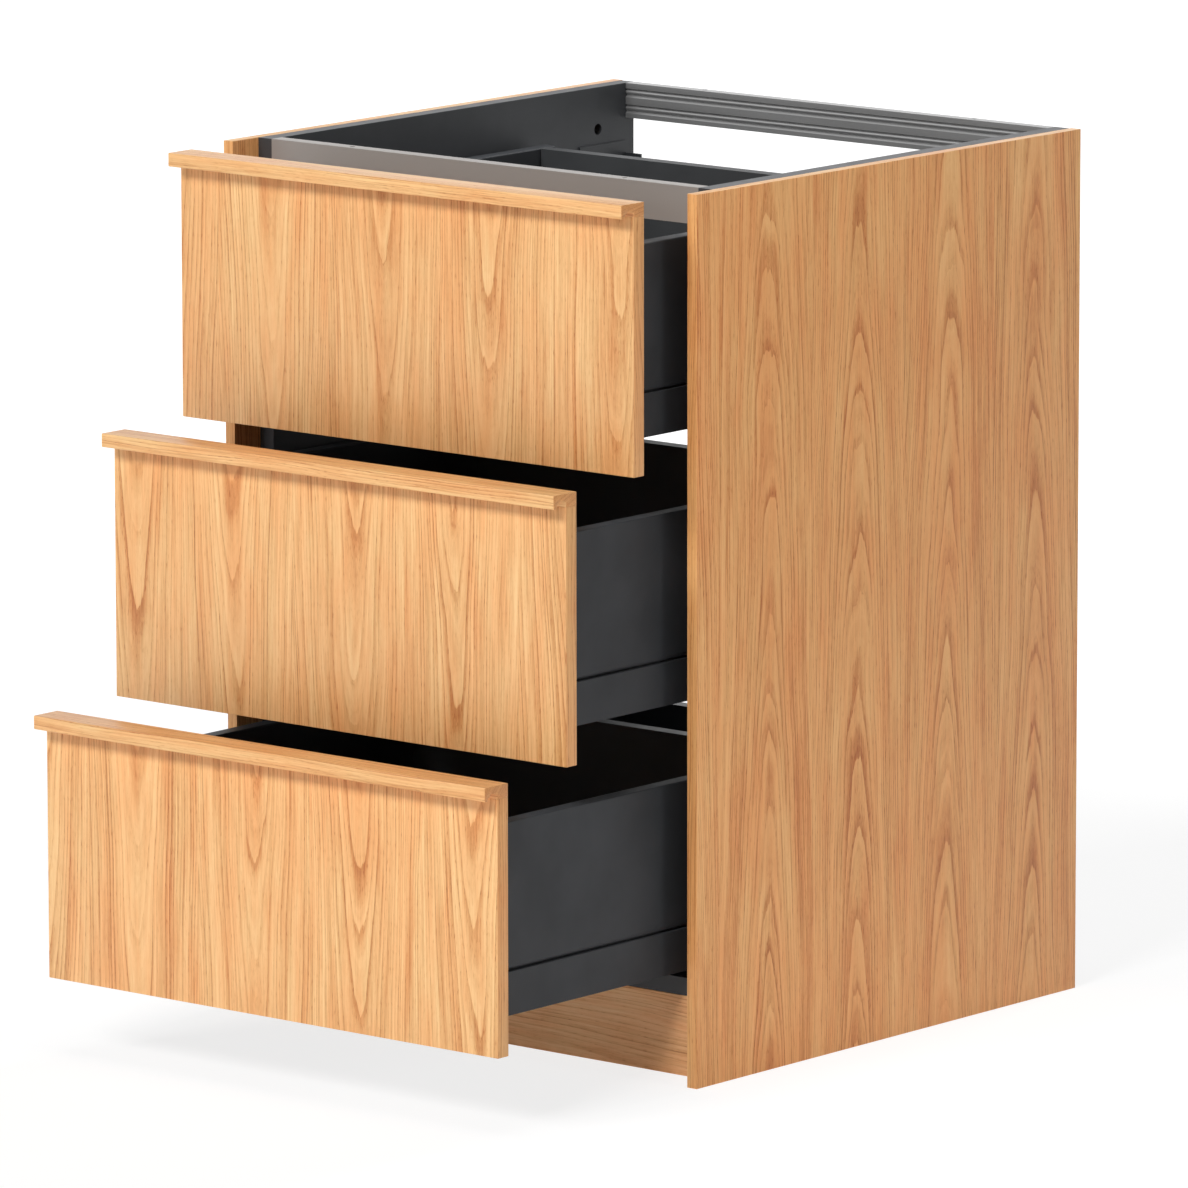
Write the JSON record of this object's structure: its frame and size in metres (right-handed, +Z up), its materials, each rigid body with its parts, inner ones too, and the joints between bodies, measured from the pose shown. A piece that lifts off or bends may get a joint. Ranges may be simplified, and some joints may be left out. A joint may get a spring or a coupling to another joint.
{
  "type": "drawer base cabinet",
  "caption": "Kitchen base cabinet with full-extension drawers, oak fronts with a grooved handle strip along the top, oak cover panels and a dark carcass on adjustable legs.",
  "frame": {"origin": "on the floor, in the middle of the bounding box with the drawers open as in the picture", "axes": "+X to the right seen from the front, +Y from the drawer fronts to the back, +Z up"},
  "size_m": [0.625, 0.932, 0.903],
  "materials": {
    "oak_panel": "oak veneer, satin lacquer",
    "oak_solid": "solid oak, satin lacquer",
    "carcass_board": "particle board with dark grey melamine, matt",
    "drawer_board": "particle board with dark grey melamine, matt",
    "drawer_metal": "dark grey powder coat, fine and matt",
    "rail_aluminium": "satin, natural anodised",
    "black_plastic": "moulded, matt",
    "slide_steel": "zinc plated",
    "screw_steel": "zinc plated",
    "guide_plastic": "nylon, natural white"
  },
  "bodies": {
    "cabinet": {"side_cover_left": "oak_panel", "side_cover_right": "oak_panel", "plinth_panel": "oak_panel", "carcass_side_left": "carcass_board", "carcass_side_right": "carcass_board", "carcass_bottom": "carcass_board", "back_panel": "carcass_board", "front_rail": "rail_aluminium", "back_rail": "rail_aluminium", "leg_sockets": "black_plastic", "leg_feet": "black_plastic", "plinth_clips": "black_plastic", "wall_brackets": "slide_steel", "carcass_screws": "screw_steel", "cover_screws": "screw_steel", "short_screws": "screw_steel", "rail_guides": "guide_plastic", "lower_slide_rail_left": "slide_steel", "lower_slide_rail_right": "slide_steel", "middle_slide_rail_left": "slide_steel", "middle_slide_rail_right": "slide_steel", "upper_slide_rail_left": "slide_steel", "upper_slide_rail_right": "slide_steel"},
    "lower_drawer": {"lower_front_panel": "oak_panel", "lower_handle_strip": "oak_solid", "lower_box_side_left": "drawer_metal", "lower_box_side_right": "drawer_metal", "lower_box_back": "drawer_board", "lower_box_base": "drawer_board", "lower_slide_cover_left": "drawer_metal", "lower_slide_cover_right": "drawer_metal", "lower_slide_guides": "guide_plastic", "lower_box_screws": "screw_steel"},
    "middle_drawer": {"middle_front_panel": "oak_panel", "middle_handle_strip": "oak_solid", "middle_box_side_left": "drawer_metal", "middle_box_side_right": "drawer_metal", "middle_box_back": "drawer_board", "middle_box_base": "drawer_board", "middle_slide_cover_left": "drawer_metal", "middle_slide_cover_right": "drawer_metal", "middle_slide_guides": "guide_plastic", "middle_box_screws": "screw_steel"},
    "upper_drawer": {"upper_front_panel": "oak_panel", "upper_handle_strip": "oak_solid", "upper_box_side_left": "drawer_metal", "upper_box_side_right": "drawer_metal", "upper_box_back": "drawer_board", "upper_box_base": "drawer_board", "upper_slide_cover_left": "drawer_metal", "upper_slide_cover_right": "drawer_metal", "upper_slide_guides": "guide_plastic", "upper_box_screws": "screw_steel"},
    "lower_middle_left": {"lower_slide_middle_left": "slide_steel"},
    "lower_middle_right": {"lower_slide_middle_right": "slide_steel"},
    "middle_middle_left": {"middle_slide_middle_left": "slide_steel"},
    "middle_middle_right": {"middle_slide_middle_right": "slide_steel"},
    "upper_middle_left": {"upper_slide_middle_left": "slide_steel"},
    "upper_middle_right": {"upper_slide_middle_right": "slide_steel"}
  },
  "joints": [
    {"name": "lower_drawer_slide", "type": "slide", "parent": "cabinet", "child": "lower_drawer", "axis": [0, -1, 0], "range_m": [-0.309, 0.191]},
    {"name": "middle_drawer_slide", "type": "slide", "parent": "cabinet", "child": "middle_drawer", "axis": [0, -1, 0], "range_m": [-0.204, 0.296]},
    {"name": "upper_drawer_slide", "type": "slide", "parent": "cabinet", "child": "upper_drawer", "axis": [0, -1, 0], "range_m": [-0.1, 0.4]},
    {"name": "lower_middle_slide_left", "type": "slide", "parent": "cabinet", "child": "lower_middle_left", "axis": [0, -1, 0], "range_m": [-0.1545, 0.0955]},
    {"name": "lower_middle_slide_right", "type": "slide", "parent": "cabinet", "child": "lower_middle_right", "axis": [0, -1, 0], "range_m": [-0.1545, 0.0955]},
    {"name": "middle_middle_slide_left", "type": "slide", "parent": "cabinet", "child": "middle_middle_left", "axis": [0, -1, 0], "range_m": [-0.102, 0.148]},
    {"name": "middle_middle_slide_right", "type": "slide", "parent": "cabinet", "child": "middle_middle_right", "axis": [0, -1, 0], "range_m": [-0.102, 0.148]},
    {"name": "upper_middle_slide_left", "type": "slide", "parent": "cabinet", "child": "upper_middle_left", "axis": [0, -1, 0], "range_m": [-0.05, 0.2]},
    {"name": "upper_middle_slide_right", "type": "slide", "parent": "cabinet", "child": "upper_middle_right", "axis": [0, -1, 0], "range_m": [-0.05, 0.2]}
  ],
  "couplings": [
    {"joint": "lower_middle_slide_left", "follows": "lower_drawer_slide", "ratio": 0.5},
    {"joint": "lower_middle_slide_right", "follows": "lower_drawer_slide", "ratio": 0.5},
    {"joint": "middle_middle_slide_left", "follows": "middle_drawer_slide", "ratio": 0.5},
    {"joint": "middle_middle_slide_right", "follows": "middle_drawer_slide", "ratio": 0.5},
    {"joint": "upper_middle_slide_left", "follows": "upper_drawer_slide", "ratio": 0.5},
    {"joint": "upper_middle_slide_right", "follows": "upper_drawer_slide", "ratio": 0.5}
  ]
}
